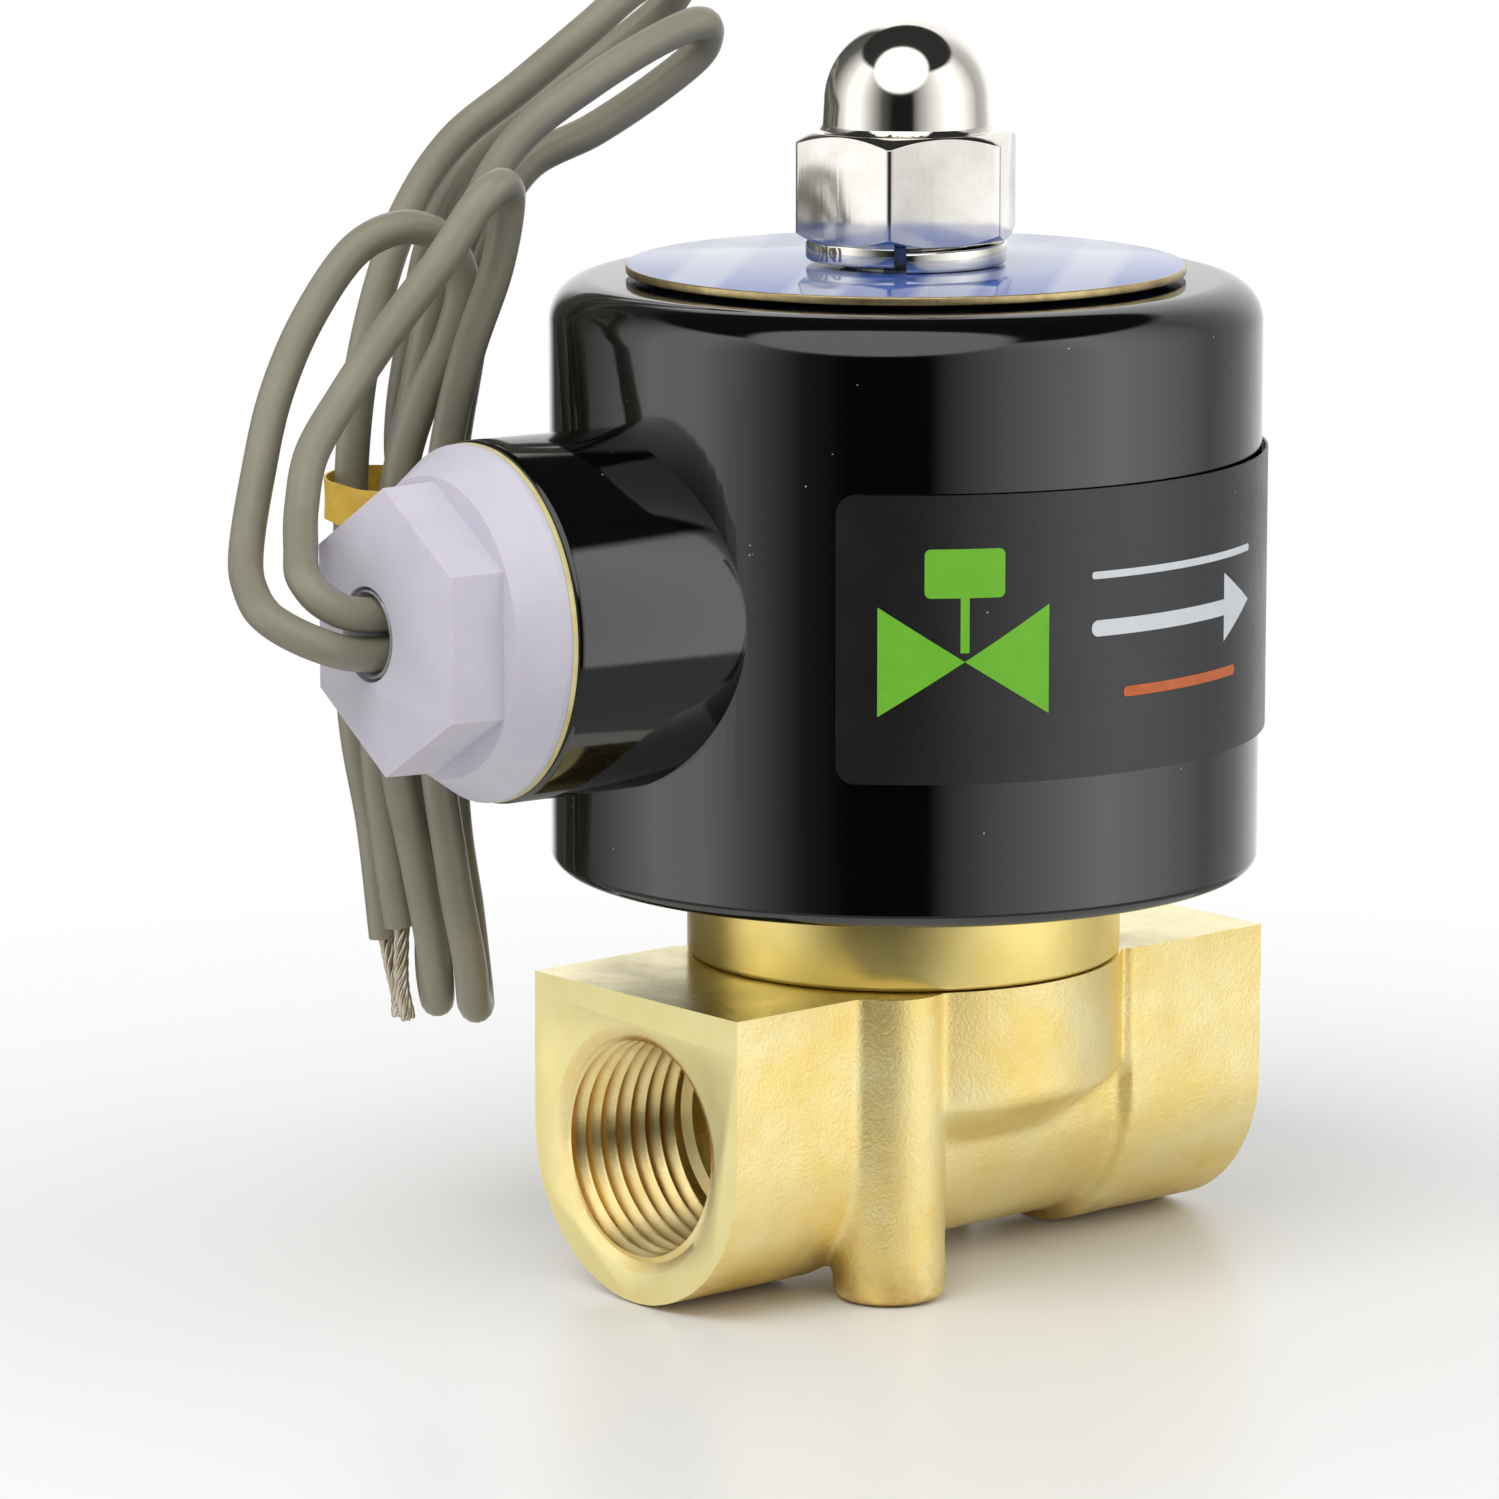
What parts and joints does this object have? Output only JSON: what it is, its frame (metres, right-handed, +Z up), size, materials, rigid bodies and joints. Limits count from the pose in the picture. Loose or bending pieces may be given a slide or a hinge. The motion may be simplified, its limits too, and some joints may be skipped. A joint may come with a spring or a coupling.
{
  "type": "solenoid valve",
  "caption": "Direct-acting two-way brass solenoid valve: round black coil on a stem with a domed cap nut, side boss with hex plug, and two flying leads folded into a hank.",
  "frame": {"origin": "middle of the valve's footprint on the floor, leads left out; the stem axis stands at x = 9.1 mm, y = 0", "axes": "+X along the flow from inlet to outlet, +Z up along the stem, +Y to the side of the lead hank; the coil's side boss points to -X, turned 6.8 degrees to +Y"},
  "size_m": [0.0737, 0.0573, 0.0897],
  "materials": {
    "forged_brass": "raw forging, sand-like grain on the sides, milled smooth on the top and end faces",
    "turned_brass": "turned smooth, semi-gloss",
    "nitrile_seal": "matt black rubber",
    "stainless_steel": "turned stainless",
    "copper": "bare copper",
    "spring_steel": "drawn spring wire",
    "nickel_plate": "bright nickel plate",
    "magnetic_steel": "ground magnetic stainless",
    "fluoro_rubber": "matt rubber seal",
    "black_enamel": "gloss black coated steel",
    "soft_iron": "plain soft iron",
    "bobbin_nylon": "glass filled nylon",
    "enamelled_copper": "enamelled copper wire",
    "winding_tape": "polyester tape",
    "splice_sleeve": "insulating sleeve",
    "pale_nylon": "natural moulded nylon, satin",
    "cream_gasket": "thin cream gasket",
    "clear_sleeve": "clear insulating sleeve",
    "grey_vinyl": "warm grey vinyl insulation",
    "tinned_strands": "twisted tinned copper strands",
    "yellow_tie": "thin yellow tape",
    "blue_foil": "glossy printed blue foil with pale diagonal bands",
    "charcoal_film": null
  },
  "bodies": {
    "valve": {"valve_body": "forged_brass", "bonnet_ring": "turned_brass", "bonnet_o_ring": "nitrile_seal", "guide_tube": "stainless_steel", "fixed_core": "stainless_steel", "shading_ring": "copper", "plunger_spring": "spring_steel", "spring_washer": "nickel_plate", "cap_nut": "nickel_plate"},
    "plunger": {"plunger": "magnetic_steel", "plunger_seal": "fluoro_rubber"},
    "coil": {"coil_housing": "black_enamel", "housing_bottom_plate": "soft_iron", "upper_flux_sleeve": "soft_iron", "lower_flux_sleeve": "soft_iron", "coil_bobbin": "bobbin_nylon", "copper_winding": "enamelled_copper", "winding_tape": "winding_tape", "lead_splice_1": "splice_sleeve", "lead_splice_2": "splice_sleeve", "cable_gland": "pale_nylon", "gland_gasket": "cream_gasket", "lead_sleeve": "clear_sleeve", "lead_wire_1": "grey_vinyl", "lead_wire_2": "grey_vinyl", "lead_strands_1": "tinned_strands", "lead_strands_2": "tinned_strands", "bundle_tie": "yellow_tie", "nameplate_disc": "blue_foil", "side_label": "charcoal_film"}
  },
  "joints": [
    {"name": "plunger_lift", "type": "slide", "parent": "valve", "child": "plunger", "axis": [0, 0, 1], "range_m": [0, 0.002], "stiffness_N_per_m": 300, "springref_m": -0.006, "deforming": ["plunger_spring"]},
    {"name": "coil_swivel", "type": "hinge", "parent": "valve", "child": "coil", "pos_m": [0.0091, 0, 0.0281], "axis": [0, 0, 1], "continuous": true}
  ]
}
